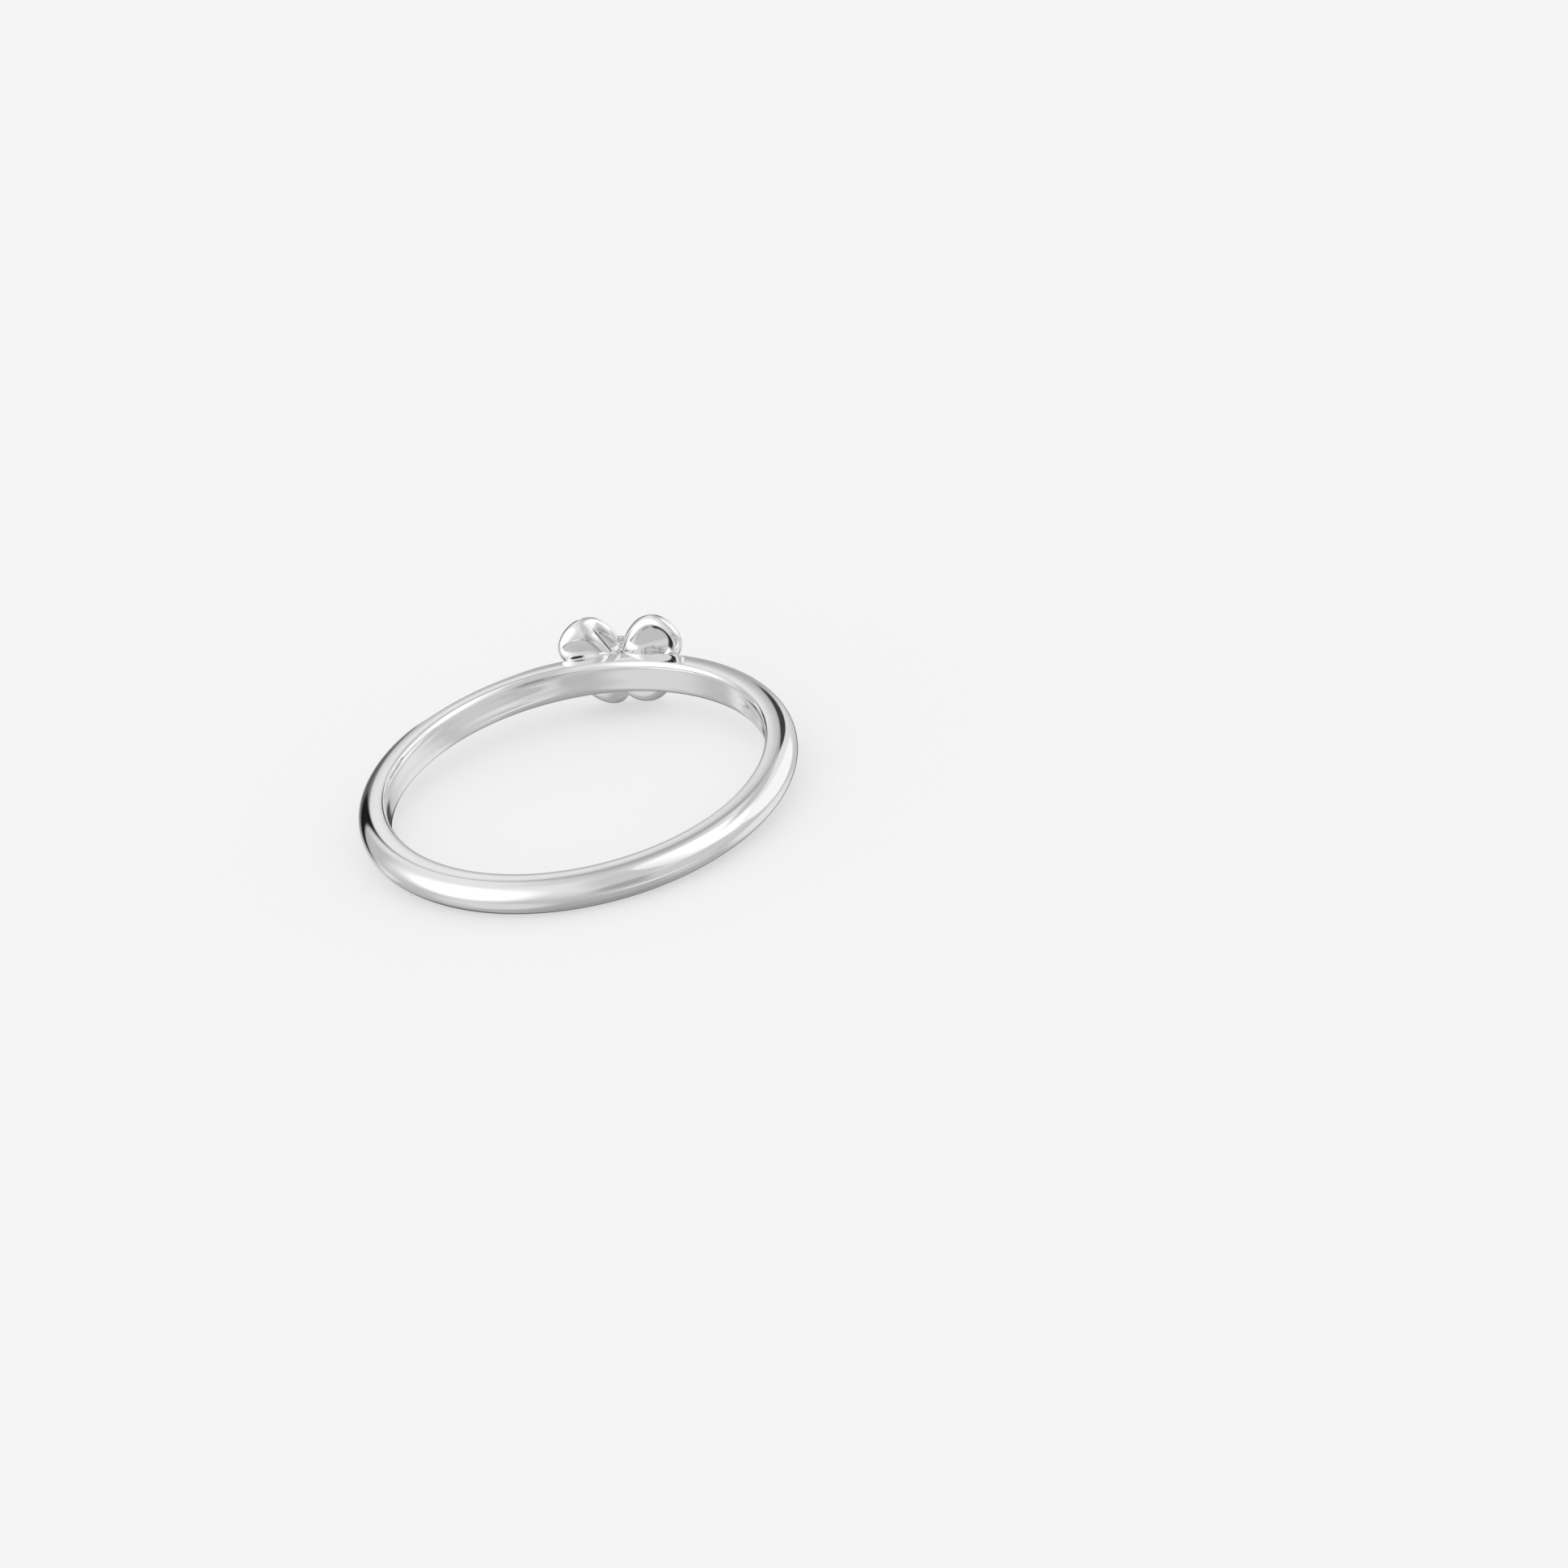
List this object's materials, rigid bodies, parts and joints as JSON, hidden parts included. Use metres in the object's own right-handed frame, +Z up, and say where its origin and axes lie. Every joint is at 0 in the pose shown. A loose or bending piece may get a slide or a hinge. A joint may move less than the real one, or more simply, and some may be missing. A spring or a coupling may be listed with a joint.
{
  "type": "stackable ring",
  "caption": "Slim polished silver stacking ring with a domed outer face, flat side rims and a small cast flower, lying on its side.",
  "frame": {"origin": "middle of the base of the ring's box, on the surface that the ring lies on", "axes": "+Z up from that surface, about 4 degrees off the finger hole's axis; +Y from the finger hole towards the flower; +X across the flower"},
  "size_m": [0.02, 0.0208, 0.0046],
  "materials": {
    "silver": "polished sterling silver, with a rough cast seam behind the flower"
  },
  "bodies": {
    "root": {"ring": "silver"}
  },
  "joints": []
}
